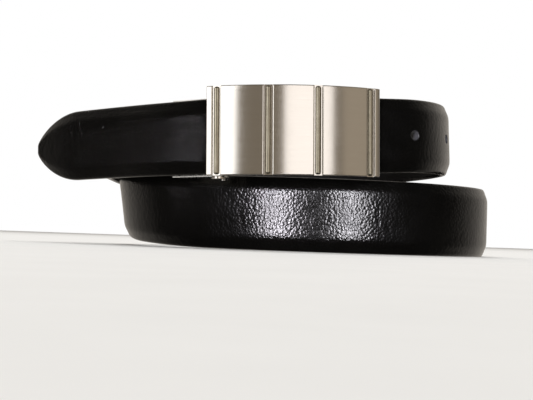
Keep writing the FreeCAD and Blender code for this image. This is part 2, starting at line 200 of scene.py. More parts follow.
# The surroundings' brightness in front and behind, and the Y of the directions between
# which it changes.
FRONT_GLOW, BACK_GLOW = 0.015, 0.75
GLOW_FROM, GLOW_TO = -0.02, 0.6
GLOW_TINT = (1.0, 0.92, 0.82, 1)
FLOOR_SIZE = 3.0
FLOOR_TONES = [(0.8, 0.8, 0.79, 1), (0.86, 0.86, 0.85, 1)]


def on_arc(radius, degrees):
    a = math.radians(degrees)
    return np.array([radius * math.sin(a), -radius * math.cos(a)])


def hinge_plan(along, inward):
    a = math.radians(CLAMP_ANGLE)
    way = np.array([-math.cos(a), math.sin(a)])
    side = np.array([math.sin(a), math.cos(a)])
    return on_arc(PIN_FROM_CENTRE, PIN_ANGLE) + way * along + side * inward


def run_rows():
    a = math.radians(TAIL_ANGLE)
    bend = WAIST_CENTRE + on_arc(WAIST_RADIUS, -TAIL_ANGLE)
    tip = bend + np.array([-math.cos(a), math.sin(a)]) * TAIL_LENGTH
    rows = [(*(tip + (bend - tip) * share), z, lean) for share, z, lean in TAIL_ROWS]
    rows += [
        (*(WAIST_CENTRE + on_arc(WAIST_RADIUS, w)), z, lean) for w, z, lean in WAIST_ROWS
    ]
    rows += TURN_ROWS
    for along in (CLAMP_LENGTH, FIXED_END_START):
        fall = (along - FIXED_END_START) * math.tan(math.radians(FIXED_END_SLOPE))
        at = WAIST_CENTRE + hinge_plan(along, FIXED_END_IN)
        rows.append((*at, FIXED_END_Z - fall, FIXED_END_LEAN))
    return np.array(rows, float)


def end_slope(t, p):
    """Slope at the first of four points of the cubic through them."""
    slope = np.zeros(2)
    for i in range(4):
        others = [k for k in range(4) if k != i]
        below = np.prod([t[i] - t[k] for k in others])
        above = sum(
            np.prod([t[0] - t[m] for m in others if m != k]) for k in others
        )
        slope += p[i] * above / below
    return slope


def spline_run(points, per_span=160):
    """A smooth curve through the points: samples of place and direction."""
    gaps = np.linalg.norm(np.diff(points, axis=0), axis=1)
    t = np.concatenate([[0.0], np.cumsum(gaps)])
    n = len(t)
    left = np.zeros((n, n))
    right = np.zeros((n, 2))
    left[0, 0] = left[-1, -1] = 1.0
    right[0] = end_slope(t[:4], points[:4])
    right[-1] = end_slope(t[::-1][:4], points[::-1][:4])
    for i in range(1, n - 1):
        a, b = t[i] - t[i - 1], t[i + 1] - t[i]
        left[i, i - 1], left[i, i], left[i, i + 1] = 1 / a, 2 * (1 / a + 1 / b), 1 / b
        before = (points[i] - points[i - 1]) / a**2
        after = (points[i + 1] - points[i]) / b**2
        right[i] = 3 * (before + after)
    slopes = np.linalg.solve(left, right)
    places, ways, knots = [], [], []
    for i in range(n - 1):
        step = t[i + 1] - t[i]
        u = np.linspace(0, 1, per_span, endpoint=i == n - 2)[:, None]
        a, b, da, db = points[i], points[i + 1], slopes[i] * step, slopes[i + 1] * step
        knots.append(sum(len(k) for k in places))
        places.append(
            a * (2 * u**3 - 3 * u**2 + 1) + da * (u**3 - 2 * u**2 + u)
            + b * (3 * u**2 - 2 * u**3) + db * (u**3 - u**2)
        )
        ways.append(
            a * (6 * u**2 - 6 * u) + da * (3 * u**2 - 4 * u + 1)
            + b * (6 * u - 6 * u**2) + db * (3 * u**2 - 2 * u)
        )
    places, ways = np.concatenate(places), np.concatenate(ways)
    knots.append(len(places) - 1)
    lengths = np.concatenate(
        [[0.0], np.cumsum(np.linalg.norm(np.diff(places, axis=0), axis=1))]
    )
    return places, ways / np.linalg.norm(ways, axis=1)[:, None], lengths, knots


ROWS = run_rows()
PLAN, PLAN_WAY, PLAN_S, KNOTS = spline_run(ROWS[:, :2])
ROW_AT = PLAN_S[KNOTS]
LENGTH = PLAN_S[-1]


def row_slopes(values):
    rises = np.diff(values) / np.diff(ROW_AT)
    a, b = rises[:-1], rises[1:]
    same = a * b > 0
    inner = np.where(same, 2 * a * b / np.where(same, a + b, 1), 0.0)
    return np.concatenate([[rises[0]], inner, [rises[-1]]])


def between_rows(values, s):
    slopes = row_slopes(values)
    i = np.clip(np.searchsorted(ROW_AT, s, side="left") - 1, 0, len(ROW_AT) - 2)
    step = ROW_AT[i + 1] - ROW_AT[i]
    t = np.clip((s - ROW_AT[i]) / step, 0, 1)
    a, b, da, db = values[i], values[i + 1], slopes[i] * step, slopes[i + 1] * step
    value = (
        a * (2 * t**3 - 3 * t**2 + 1) + da * (t**3 - 2 * t**2 + t)
        + b * (3 * t**2 - 2 * t**3) + db * (t**3 - t**2)
    )
    rate = (
        a * (6 * t**2 - 6 * t) + da * (3 * t**2 - 4 * t + 1)
        + b * (6 * t - 6 * t**2) + db * (3 * t**2 - 2 * t)
    )
    return value, rate / step


def unit(v):
    return v / np.linalg.norm(v, axis=-1, keepdims=True)


def frames_at(s):
    """Middle, direction, way across and way out of the strap at distances s, in mm."""
    s = np.asarray(s, float)
    plan = np.stack([np.interp(s, PLAN_S, PLAN[:, k]) for k in (0, 1)], -1) + SHIFT
    way = np.stack([np.interp(s, PLAN_S, PLAN_WAY[:, k]) for k in (0, 1)], -1)
    low, rise = between_rows(ROWS[:, 2], s)
    lean = np.radians(between_rows(ROWS[:, 3], s)[0])[..., None]
    along = unit(np.concatenate([way, rise[..., None]], -1))
    up = np.array([0.0, 0.0, 1.0])
    upright = unit(up - along * along[..., 2:])
    outward = np.cross(along, upright)
    across = upright * np.cos(lean) + outward * np.sin(lean)
    out = outward * np.cos(lean) - upright * np.sin(lean)
    middle = np.concatenate(
        [plan, (low + across[..., 2] * STRAP_WIDTH / 2)[..., None]], -1
    )
    return middle, along, across, out


# ------------------------------------------------------------------ small noise
def lattice(i, j, seed):
    h = (i * 374761393 + j * 668265263 + seed * 974634777) & 0xFFFFFFFF
    h = ((h ^ (h >> 13)) * 1274126177) & 0xFFFFFFFF
    return ((h ^ (h >> 16)) & 0xFFFF) / 65535.0


def noise(x, y, seed):
    """Smooth noise from 0 to 1 at points x, y."""
    i, j = np.floor(x).astype(np.int64), np.floor(y).astype(np.int64)
    fx, fy = x - i, y - j
    fx, fy = fx * fx * (3 - 2 * fx), fy * fy * (3 - 2 * fy)
    low = lattice(i, j, seed) * (1 - fx) + lattice(i + 1, j, seed) * fx
    high = lattice(i, j + 1, seed) * (1 - fx) + lattice(i + 1, j + 1, seed) * fx
    return low * (1 - fy) + high * fy


# ------------------------------------------------------------------ making meshes
def put(name, points, faces, body, *replaced, **values):
    """A smooth piece from points in millimetres, with named values stored on its points."""
    mesh = bpy.data.meshes.new(name)
    mesh.from_pydata((np.asarray(points) * MM).tolist(), [], faces)
    mesh.polygons.foreach_set("use_smooth", [True] * len(mesh.polygons))
    for key, value in values.items():
        value = np.asarray(value, float)
        flat = value.ndim == 1
        kind = "FLOAT" if flat else "FLOAT_VECTOR"
        layer = mesh.attributes.new(key, kind, "POINT")
        layer.data.foreach_set("value" if flat else "vector", value.ravel())
    mesh.validate()
    obj = bpy.data.objects.new(name, mesh)
    bpy.context.scene.collection.objects.link(obj)
    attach(obj, body)
    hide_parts(*replaced)
    return obj


def smooth_side(corners, samples):
    """Points on each row's cubic B-spline: (rows, corners, 2) to (rows, samples, 2)."""
    first, last = corners[:, :1], corners[:, -1:]
    padded = np.concatenate([first, first, corners, last, last], 1)
    found = []
    for u in np.linspace(0, corners.shape[1] + 1 - 1e-9, samples):
        i, t = int(u), u - int(u)
        weights = (
            (1 - t) ** 3 / 6,
            (3 * t**3 - 6 * t**2 + 4) / 6,
            (-3 * t**3 + 3 * t**2 + 3 * t + 1) / 6,
            t**3 / 6,
        )
        found.append(sum(w * padded[:, i + k] for k, w in enumerate(weights)))
    return np.stack(found, 1)


# ------------------------------------------------------------------ strap sections
def half_width(s):
    left = np.clip(1 - s / POINT_LENGTH, 0, 1)
    return POINT_BLUNT + (STRAP_WIDTH / 2 - POINT_BLUNT) * (1 - left**2) ** POINT_POWER


def thickness(s):
    share = np.clip(s / POINT_LENGTH, 0, 1)
    return POINT_THICK + (STRAP_THICK - POINT_THICK) * np.sin(share * np.pi / 2)


def flat_half(s):
    """Half the width of the raised middle."""
    share = half_width(s) / (STRAP_WIDTH / 2)
    return half_width(s) - (BEVEL + 2 * CROWN_EASE) * share


def closed_section(s, side, face, back):
    """A loop from its face, one side, its back and the other side: (rows, columns, 2)."""
    side = np.stack([np.stack(np.broadcast_arrays(p, q), -1) for p, q in side], 1)
    side = smooth_side(side, SIDE_SAMPLES)
    flats = np.linspace(-1, 1, FLAT_COLUMNS)[None, :, None] * flat_half(s)[:, None, None]
    face = np.broadcast_to(np.reshape(face, (-1, 1, 1)), flats.shape)
    back = np.broadcast_to(np.reshape(back, (-1, 1, 1)), flats.shape)
    top = np.concatenate([flats, face], -1)
    under = np.concatenate([flats[:, ::-1], back], -1)
    mirrored = side[:, ::-1] * np.array([-1.0, 1.0])
    return np.concatenate([top, side[:, 1:], under, mirrored[:, :-1]], 1)


def strap_section(s):
    h, thick = half_width(s), thickness(s)
    share = h / (STRAP_WIDTH / 2)
    edge = np.minimum(EDGE_THICK, thick - 0.3)
    bevel, ease, rise = BEVEL * share, CROWN_EASE * share, thick - edge
    side = [
        (flat_half(s), thick),
        (h - bevel - 0.9 * ease, thick),
        (h - bevel - 0.1 * ease, thick - 0.05 * rise),
        (h - 0.84 * bevel, thick - 0.19 * rise),
        (h - 0.62 * bevel, thick - 0.42 * rise),
        (h - 0.36 * bevel, thick - 0.7 * rise),
        (h - 0.17 * bevel, edge + 0.14 * rise),
        (h - 0.05 * bevel, edge - 0.1),
        (h + 0.05, edge - 0.5),
        (h + 0.07, 0.5 * edge),
        (h + 0.05, 0.5),
        (h - 0.02 * bevel, 0.12),
        (h - 0.12 * bevel, -0.02),
        (h - 0.2 * bevel, 0.03),
        (h - 0.25 * bevel, 0.22),
        (h - 0.3 * bevel, SKIN_BACK - 0.05),
    ]
    return closed_section(s, side, thick, SKIN_BACK)


def lining_section(s):
    h = half_width(s)
    share = h / (STRAP_WIDTH / 2)
    flat = flat_half(s)
    edge = h - 0.27 * BEVEL * share
    top = SKIN_BACK - LAYER_GAP
    side = [
        (flat, 0.0),
        (0.5 * (flat + edge), 0.0),
        (edge - 0.6 * share, 0.0),
        (edge - 0.15, 0.02),
        (edge, 0.15),
        (edge - 0.05 * share, top - 0.1),
        (edge - 0.2 * share, top),
        (flat, top),
    ]
    return closed_section(s, side, 0.0, top)


def creases(s, p):
    """Depth of the folds pressed into the outer leather, in mm, by use."""
    depth = np.zeros(np.broadcast(s, p).shape)
    for at, middle, half, slant, bow, width, deep in CREASES:
        up = (p - middle) / half
        line = at + slant * (p - middle) + bow * up**2
        reach = np.clip(1 - np.abs(up), 0, 1)
        fade = reach * reach * (3 - 2 * reach)
        valley = np.exp(-(((s - line) / width) ** 2))
        lips = np.exp(-(((s - line) / (2.2 * width)) ** 2))
        depth += deep * fade * (valley - 0.45 * lips)
    return depth


def outer_wear(s, p):
    """How far the outer leather stands off its even surface, in mm."""
    slow = noise(s / 16.0 + 40, p / 11.0 + 40, 3) - 0.5
    quick = noise(s / 4.3 + 90, p / 5.2 + 90, 5) - 0.5
    small = noise(s / 1.7 + 50, p / 1.9 + 50, 7) - 0.5
    return SLOW_WAVE * slow + QUICK_WAVE * quick + SMALL_WAVE * small - creases(s, p)


def on_strap(s, p, q):
    middle, along, across, out = frames_at(s)
    return middle + across * p[..., None] + out * (q - STRAP_THICK / 2)[..., None]


def row_places(start):
    """Distances of the rows: every millimetre, and closer at the tip and the creases."""
    tip = start + TIP_ROUND * (1 - np.cos(np.linspace(0, np.pi / 2, 7)))
    first = math.ceil(start + TIP_ROUND + 0.3)
    halves = [np.arange(a + 0.5, b) for a, b in FINE_STRETCHES]
    even = np.arange(first, math.floor(LENGTH))
    return np.sort(np.concatenate([tip, even, *halves, [LENGTH]]))


def loop_arc(loop):
    """Distance round the section from the middle of the face, negative on the left side."""
    gaps = np.linalg.norm(np.diff(loop, axis=1, append=loop[:, :1]), axis=2)
    travelled = np.cumsum(gaps, 1) - gaps
    whole = travelled[:, -1:] + gaps[:, -1:]
    arc = travelled - travelled[:, FLAT_COLUMNS // 2][:, None]
    return np.where(arc > whole / 2, arc - whole, arc)


def strap_layer(name, section, start, outer, material, *replaced):
    """A closed layer of the strap with its holes, and its place along the belt stored."""
    s = row_places(start)
    loop = section(s)
    rounding = np.clip((s - start) / TIP_ROUND, 0.02, 1)
    rounding = np.sqrt(1 - (1 - rounding) ** 2)[:, None]
    centre = loop[..., 1].mean(1, keepdims=True)
    p = loop[..., 0]
    q = centre + (loop[..., 1] - centre) * rounding
    rows, columns = p.shape
    along_belt = np.broadcast_to(s[:, None], p.shape)
    if outer:
        facing = np.clip((loop[..., 1] - 0.8) / 1.2, 0, 1)
        q = q + facing * rounding * outer_wear(along_belt, p)
    points = [on_strap(along_belt, p, q).reshape(-1, 3)]
    arc = loop_arc(loop)
    places = [np.stack([along_belt, arc, np.zeros_like(arc)], -1).reshape(-1, 3)]
    raw = [np.zeros(rows * columns)]
    index = np.arange(rows * columns).reshape(rows, columns)
    middle = FLAT_COLUMNS // 2
    mirror = 2 * (FLAT_COLUMNS - 1) + SIDE_SAMPLES
    keep = np.ones((rows - 1, columns), bool)
    faces = []
    count = rows * columns
    for hole in HOLES:
        row = int(np.argmin(np.abs(s - hole)))
        low, high = row - HOLE_ROWS, row + HOLE_ROWS
        left, right = middle - HOLE_COLUMNS, middle + HOLE_COLUMNS
        keep[low:high, left:right] = False
        keep[low:high, mirror - right:mirror - left] = False
        rim = [(i, left) for i in range(low, high)]
        rim += [(high, j) for j in range(left, right)]
        rim += [(i, right) for i in range(high, low, -1)]
        rim += [(low, j) for j in range(right, left, -1)]
        rim = np.array(rim)
        front = index[rim[:, 0], rim[:, 1]]
        behind = index[rim[:, 0], mirror - rim[:, 1]]
        turn = np.arctan2(p[rim[:, 0], rim[:, 1]], s[rim[:, 0]] - hole)
        face_q = float(loop[row, middle, 1])
        back_q = float(loop[row, mirror - middle, 1])
        inward = 1 if face_q < back_q else -1
        levels = [
            (HOLE_RADIUS + 0.5, face_q, 0.0),
            (HOLE_RADIUS + 0.22, face_q + 0.03 * inward, 0.1),
            (HOLE_RADIUS + 0.05, face_q + 0.13 * inward, 0.5),
            (HOLE_RADIUS - 0.04, face_q + 0.3 * inward, 1.0),
            (HOLE_RADIUS - 0.05, 0.5 * (face_q + back_q), 1.0),
            (HOLE_RADIUS - 0.05, back_q - 0.1 * inward, 1.0),
            (HOLE_RADIUS, back_q, 1.0),
        ]
        rings = [front]
        for radius, level, rawness in levels:
            ring_s = hole + radius * np.cos(turn)
            ring_p = radius * np.sin(turn)
            ring_q = np.full(len(turn), level)
            if outer:
                near_face = abs(level - face_q) < 0.2
                ring_q = ring_q + near_face * outer_wear(ring_s, ring_p)
            points.append(on_strap(ring_s, ring_p, ring_q))
            down = np.full(len(turn), abs(level - face_q))
            places.append(np.stack([ring_s, ring_p, down], -1))
            raw.append(np.full(len(turn), rawness))
            rings.append(np.arange(count, count + len(turn)))
            count += len(turn)
        rings.append(behind)
        for a, b in zip(rings[:-1], rings[1:]):
            for k in range(len(turn)):
                n = (k + 1) % len(turn)
                faces.append((int(a[k]), int(a[n]), int(b[n]), int(b[k])))
    after = np.roll(index, -1, 1)
    quads = np.stack([index[:-1], index[1:], after[1:], after[:-1]], -1)[keep]
    faces += quads.tolist()
    faces.append(index[0].tolist())
    faces.append(index[-1, ::-1].tolist())
    if not outer:
        faces = [face[::-1] for face in faces]
    obj = put(
        name, np.concatenate(points), faces, "strap", *replaced,
        belt_place=np.concatenate(places) * MM, cut_edge=np.concatenate(raw),
    )
    obj.data.materials.append(material)
    return obj


# ------------------------------------------------------------------ buckle
def on_buckle(arc, radius, level):
    """A point from its angle in radians, radius and height in the buckle's own frame."""
    x, y = radius * np.sin(arc), -radius * np.cos(arc)
    roll = math.radians(PLATE_ROLL)
    x, level = np.broadcast_arrays(x, level)
    across = x * math.cos(roll) - level * math.sin(roll)
    up = x * math.sin(roll) + level * math.cos(roll)
    centre = WAIST_CENTRE + SHIFT
    y = np.broadcast_to(y, x.shape)
    return np.stack([centre[0] + across, centre[1] + y, PLATE_MIDDLE_Z + up], -1)


def rounded_outline(corners, steps=6):
    """Rounds the corners of a closed outline. Each corner is x, y and its rounding."""
    found = []
    count = len(corners)
    for i, (x, y, rounding) in enumerate(corners):
        at = np.array([x, y])
        if rounding == 0:
            found.append(at)
            continue
        before = np.array(corners[i - 1][:2]) - at
        after = np.array(corners[(i + 1) % count][:2]) - at
        start = at + before / np.linalg.norm(before) * rounding
        end = at + after / np.linalg.norm(after) * rounding
        for t in np.linspace(0, 1, steps):
            found.append(start * (1 - t) ** 2 + 2 * at * t * (1 - t) + end * t**2)
    return np.array(found)


def plate_outline():
    """The plate seen along the hinge: arc length at the outer radius, and radius."""
    groove = GROOVE_WIDTH / 2
    place = [math.radians(a) * PLATE_OUTER for a in [PLATE_LEFT, *RIB_ANGLES, PLATE_RIGHT]]
    corners = []
    for number in range(len(place) - 1):
        start = place[number] + (groove if number else 0)
        end = place[number + 1] - (groove if number < len(RIB_ANGLES) else 0)
        panel = 0 < number < len(RIB_ANGLES)
        corners.append((start, PLATE_OUTER, PANEL_EDGE))
        if panel:
            for u in np.linspace(-0.9, 0.9, 37):
                at = (start + end) / 2 + (end - start) / 2 * u
                corners.append((at, PLATE_OUTER + PANEL_CROWN * (1 - u * u), 0))
        corners.append((end, PLATE_OUTER, PANEL_EDGE))
        if number < len(RIB_ANGLES):
            corners.append((end, GROOVE_RADIUS, INNER_CORNER))
            for u in np.linspace(0.2, 0.8, 4):
                corners.append((end + GROOVE_WIDTH * u, GROOVE_RADIUS, 0))
            corners.append((end + GROOVE_WIDTH, GROOVE_RADIUS, INNER_CORNER))
    corners.append((place[-1], PLATE_BACK, INNER_CORNER))
    for u in np.linspace(0.98, 0.02, 60):
        corners.append((place[0] + (place[-1] - place[0]) * u, PLATE_BACK, 0))
    corners.append((place[0], PLATE_BACK, INNER_CORNER))
    return rounded_outline(corners)


def stack_faces(rows, columns, first=0):
    """Faces of a closed tube of rows, with its two ends closed."""
    index = first + np.arange(rows * columns).reshape(rows, columns)
    after = np.roll(index, -1, 1)
    quads = np.stack([index[:-1], after[:-1], after[1:], index[1:]], -1).reshape(-1, 4)
    return quads.tolist() + [index[0, ::-1].tolist(), index[-1].tolist()]


def edge_levels(low, high, rounding, steps=7, inner=2):
    """Heights between two ends, and how far each is drawn in by the ends' rounding."""
    turn = np.linspace(0, np.pi / 2, steps)
    lower = low + rounding * (1 - np.cos(turn))
    upper = high - rounding * (1 - np.cos(turn[::-1]))
    middle = np.linspace(lower[-1], upper[0], inner + 2)[1:-1]
    drop = rounding * (1 - np.sin(turn))
    drops = np.concatenate([drop, np.zeros(inner), drop[::-1]])
    return np.concatenate([lower, middle, upper]), drops


def lug_block(low, high):
    """A hinge lug: a tongue from the plate's back with a round end about the pin."""
    pin_arc = math.radians(PIN_ANGLE)
    turns = np.linspace(-np.pi / 2, np.pi / 2, 25)
    half = LUG_HALF_WIDTH
    round_end = np.stack([half * np.sin(turns), PIN_FROM_CENTRE - half * np.cos(turns)], -1)
    root = PLATE_BACK + 0.3
    outline = np.concatenate([[[-half, root]], round_end, [[half, root]]])
    centre = np.array([0.0, PIN_FROM_CENTRE + 2.0])
    levels, drops = edge_levels(low, high, LUG_EDGE, steps=5)
    rows = []
    for level, drop in zip(levels, drops):
        away = outline - centre
        inset = outline - unit(away) * drop
        radius = np.hypot(inset[:, 1], inset[:, 0])
        rows.append(on_buckle(pin_arc + np.arctan2(inset[:, 0], inset[:, 1]), radius, level))
    return np.array(rows)


def plate_piece(material):
    outline = plate_outline()
    levels, drops = edge_levels(-PLATE_HALF_HEIGHT, PLATE_HALF_HEIGHT, PANEL_EDGE, inner=20)
    outer = np.clip((outline[:, 1] - GROOVE_RADIUS) / (PLATE_OUTER - GROOVE_RADIUS), 0, 1)
    arc = outline[:, 0] / PLATE_OUTER
    rows = [
        on_buckle(arc, outline[:, 1] - drop * outer, level)
        for level, drop in zip(levels, drops)
    ]
    blocks = [np.array(rows)]
    blocks += [lug_block(*LOWER_LUG), lug_block(*UPPER_LUG)]
    points, faces, brushed = [], [], []
    for block in blocks:
        faces += stack_faces(*block.shape[:2], sum(map(len, points)))
        points.append(block.reshape(-1, 3))
    columns = len(outline)
    for level in levels:
        brushed.append(np.stack([outline[:, 0], np.full(columns, level), outline[:, 1]], -1))
    brushed += [block[:, [0, 2, 1]] for block in points[1:]]
    piece = put(
        "face_plate_brushed", np.concatenate(points), faces, "buckle", "face_plate",
        brush_place=np.concatenate(brushed) * MM,
    )
    flat_ends(piece)
    piece.data.materials.append(material)
    return piece


def flat_ends(piece):
    """The many-sided end faces stay flat beside the smooth sides."""
    for polygon in piece.data.polygons:
        if polygon.loop_total > 4:
            polygon.use_smooth = False


def rib_piece(number, angle, material):
    """A half-round bar with rounded ends, lying in its groove."""
    levels, drops = edge_levels(-RIB_HALF_LENGTH, RIB_HALF_LENGTH, RIB_END, steps=9, inner=12)
    turns = np.linspace(-np.pi / 2, np.pi / 2, 25)
    middle = math.radians(angle)
    foot = GROOVE_RADIUS + RIB_GLUE
    rows = []
    for level, drop in zip(levels, drops):
        size = 1 - drop / RIB_END * 0.85
        side = RIB_RADIUS * size * np.sin(turns)
        rise = RIB_RADIUS * size * np.cos(turns)
        side = np.concatenate([side, side[-2:0:-1]])
        rise = np.concatenate([rise, np.zeros(len(turns) - 2)])
        radius = foot + rise
        rows.append(on_buckle(middle + side / radius, radius, level))
    rows = np.array(rows)
    faces = stack_faces(*rows.shape[:2])
    piece = put("rib_%d_polished" % number, rows.reshape(-1, 3), faces, "buckle",
                "rib_%d" % number)
    flat_ends(piece)
    piece.data.materials.append(material)
    return piece


# ------------------------------------------------------------------ materials
def start_material(name, shader_values):
    """A material whose shader has its even values on its own sockets."""
    material = bpy.data.materials.new(name)
    material.use_nodes = True
    tree = material.node_tree
    shader = tree.nodes["Principled BSDF"]
    for socket, value in shader_values.items():
        shader.inputs[socket].default_value = value
    return material, tree, shader


def add(tree, kind, inputs=None, **settings):
    """A node with its settings; inputs that are sockets are linked, others are set."""
    node = tree.nodes.new("ShaderNode" + kind)
    for key, value in settings.items():
        setattr(node, key, value)
    for key, value in (inputs or {}).items():
        if isinstance(value, bpy.types.NodeSocket):
            tree.links.new(value, node.inputs[key])
        else:
            node.inputs[key].default_value = value
    return node


def link_shader(tree, shader, sockets):
    """Links the shader's named inputs to what varies over the surface."""
    for name, value in sockets.items():
        tree.links.new(value, shader.inputs[name])


def stored_place(tree, name, scale=(1, 1, 1)):
    place = add(tree, "Attribute", attribute_name=name)
    mapped = add(tree, "Mapping", {"Vector": place.outputs["Vector"], "Scale": scale})
    return mapped.outputs["Vector"]


def noise_node(tree, vector, scale, detail=3.0, rough=0.5, distortion=0.0):
    inputs = {"Vector": vector, "Scale": scale, "Detail": detail, "Roughness": rough,
              "Distortion": distortion}
    return add(tree, "TexNoise", inputs).outputs["Fac"]


def between(tree, value, low, high, from_low=0.0, from_high=1.0):
    inputs = {"Value": value, "From Min": from_low, "From Max": from_high, "To Min": low,
              "To Max": high}
    return add(tree, "MapRange", inputs).outputs["Result"]


def mix_colour(tree, share, a, b, blend="MIX"):
    node = add(tree, "Mix", data_type="RGBA", blend_type=blend)
    for socket, value in ((0, share), (6, a), (7, b)):
        if isinstance(value, bpy.types.NodeSocket):
            tree.links.new(value, node.inputs[socket])
        else:
            node.inputs[socket].default_value = value
    return node.outputs[2]


def bump(tree, height, strength, distance, normal=None):
    inputs = {"Height": height, "Strength": strength, "Distance": distance}
    if normal is not None:
        inputs["Normal"] = normal
    return add(tree, "Bump", inputs).outputs["Normal"]


def math_node(tree, operation, a, b):
    return add(tree, "Math", {0: a, 1: b}, operation=operation).outputs[0]


def weighted_sum(tree, *parts):
    """The sum of the parts, each a socket and its weight."""
    terms = [math_node(tree, "MULTIPLY", socket, weight) for socket, weight in parts]
    total = terms[0]
    for term in terms[1:]:
        total = math_node(tree, "ADD", total, term)
    return total


def cell_node(tree, vector, size, randomness, feature, **inputs):
    """Distance from the edges or the middles of cells of the given size in metres."""
    inputs = {"Vector": vector, "Scale": 1 / size, "Randomness": randomness, **inputs}
    return add(tree, "TexVoronoi", inputs, feature=feature).outputs["Distance"]


def leather(name, dark, worn, raw, roughness, pebble, depth):
    """Dyed leather with a pebbled grain, folds between the pebbles, and worn patches, with
    painted shade darkening the valleys between the pebbles.
    """
    material, tree, shader = start_material(name, {"Specular IOR Level": LEATHER_SPECULAR})
    place = stored_place(tree, "belt_place")
    wander = add(tree, "TexNoise", {"Vector": place, "Scale": WANDER_SCALE, "Detail": 2.0})
    shifted = add(tree, "VectorMath", {0: wander.outputs["Color"], 1: (WANDER,) * 3},
                  operation="MULTIPLY")
    moved = add(tree, "VectorMath", {0: place, 1: shifted.outputs[0]},
                operation="ADD").outputs[0]
    edges = cell_node(tree, moved, pebble, 0.95, "DISTANCE_TO_EDGE")
    fold_edges = cell_node(tree, moved, FOLD_PEBBLES * pebble, 1.0, "DISTANCE_TO_EDGE")
    middles = cell_node(tree, moved, pebble, 0.95, "SMOOTH_F1", Smoothness=0.25)
    pebbles = between(tree, edges, 0, 1, 0.0, 0.45)
    folds = between(tree, fold_edges, 0, 1, 0.0, 0.12)
    round_tops = between(tree, math_node(tree, "POWER", middles, 2.0), 1, 0, 0.0, 0.5)
    fine = noise_node(tree, place, FINE_PER_PEBBLE / pebble, 1.0, 0.4)
    broad = noise_node(tree, place, 95.0, 3.0, 0.55)
    patches = noise_node(tree, place, 26.0, 4.0, 0.6, 0.4)
    pulls = noise_node(tree, stored_place(tree, "belt_place", PULL_SCALES), 1.0, 1.0, 0.4, 0.5)
    height = weighted_sum(tree, *zip((round_tops, folds, fine, pulls), GRAIN_WEIGHTS))

    colour = mix_colour(tree, between(tree, patches, 0.0, 1.0, 0.38, 0.72), dark, worn)
    # Painted shade: the colour is multiplied darker towards the pebbles' edges, in the valleys
    # between them.
    painted_valley_shade = between(tree, pebbles, 0.55, 1.0)
    painted_valley_grey = add(tree, "CombineColor", {"Red": painted_valley_shade, "Green": painted_valley_shade, "Blue": painted_valley_shade})
    colour = mix_colour(tree, 1.0, colour, painted_valley_grey.outputs[0], "MULTIPLY")
    cut = add(tree, "Attribute", attribute_name="cut_edge").outputs["Fac"]
    colour = mix_colour(tree, cut, colour, raw)

    gloss = between(tree, broad, roughness - 0.03, roughness + 0.05, 0.3, 0.7)
    gloss = math_node(tree, "ADD", gloss, between(tree, pebbles, 0.05, 0.0))
    gloss = math_node(tree, "ADD", gloss, math_node(tree, "MULTIPLY", cut, 0.4))
    grain = bump(tree, height, 1.0, depth, bump(tree, broad, 0.4, BROAD_DEPTH))
    link_shader(tree, shader, {"Base Color": colour, "Roughness": gloss, "Normal": grain})
    return material


def brushed_steel():
    """Warm nickel plate, brushed level: fine lines along the plate, polished by wear."""
    material, tree, shader = start_material("brushed_nickel", {
        "Metallic": 1.0, "Anisotropic": 0.65, "Anisotropic Rotation": 0.25,
    })
    lines, hairs, bands = (stored_place(tree, "brush_place", each) for each in BRUSH_SCALES)
    line = noise_node(tree, lines, 1.0, 3.0, 0.6)
    hair = noise_node(tree, hairs, 1.0, 2.0, 0.6)
    band = noise_node(tree, bands, 1.0, 2.0, 0.5)
    smear = noise_node(tree, stored_place(tree, "brush_place"), 60.0, 3.0, 0.6)
    mixed = weighted_sum(tree, (line, 0.6), (hair, 0.4))
    colour = mix_colour(tree, between(tree, mixed, 0.0, 1.0, 0.3, 0.7), *STEEL_TONES)
    gloss = math_node(tree, "ADD", between(tree, mixed, 0.17, 0.26, 0.3, 0.7),
                      between(tree, smear, -0.012, 0.015, 0.3, 0.7))
    gloss = math_node(tree, "ADD", gloss, between(tree, band, -0.006, 0.008, 0.3, 0.7))
    tangent = add(tree, "Tangent", direction_type="RADIAL", axis="Z").outputs[0]
    link_shader(tree, shader, {
        "Base Color": colour, "Roughness": gloss, "Tangent": tangent,
        "Normal": bump(tree, mixed, 0.1, 0.00002),
    })
    return material


def polished_metal(name, tones, roughness, scale):
    """Plated metal with faint wiping marks and slightly uneven plating."""
    material, tree, shader = start_material(name, {"Metallic": 1.0})
    place = add(tree, "TexCoord").outputs["Object"]
    marks = add(tree, "Mapping", {"Vector": place, "Scale": (scale, scale, scale * 0.12)})
    mark = noise_node(tree, marks.outputs[0], 1.0, 4.0, 0.6)
    cloud = noise_node(tree, place, 180.0, 3.0, 0.5)
    link_shader(tree, shader, {
        "Base Color": mix_colour(tree, between(tree, cloud, 0, 1, 0.3, 0.7), *tones),
        "Roughness": between(tree, mark, roughness - 0.05, roughness + 0.08, 0.3, 0.7),
        "Normal": bump(tree, mark, 0.1, 0.00001),
    })
    return material


def fibre_filler():
    """Pressed leather fibre between the two leathers."""
    material, tree, shader = start_material("pressed_fibre", {"Roughness": 0.85})
    place = add(tree, "TexCoord").outputs["Object"]
    fibre = noise_node(tree, place, 1500.0, 5.0, 0.7, 0.6)
    link_shader(tree, shader, {
        "Base Color": mix_colour(tree, fibre, *FIBRE_TONES),
        "Normal": bump(tree, fibre, 0.6, 0.0001),
    })
    return material


def floor_material():
    material, tree, shader = start_material("pale_floor", {"Roughness": 0.75})
    place = add(tree, "TexCoord").outputs["Object"]
    speckle = noise_node(tree, place, 40.0, 4.0, 0.6)
    link_shader(tree, shader, {"Base Color": mix_colour(tree, speckle, *FLOOR_TONES)})
    return material


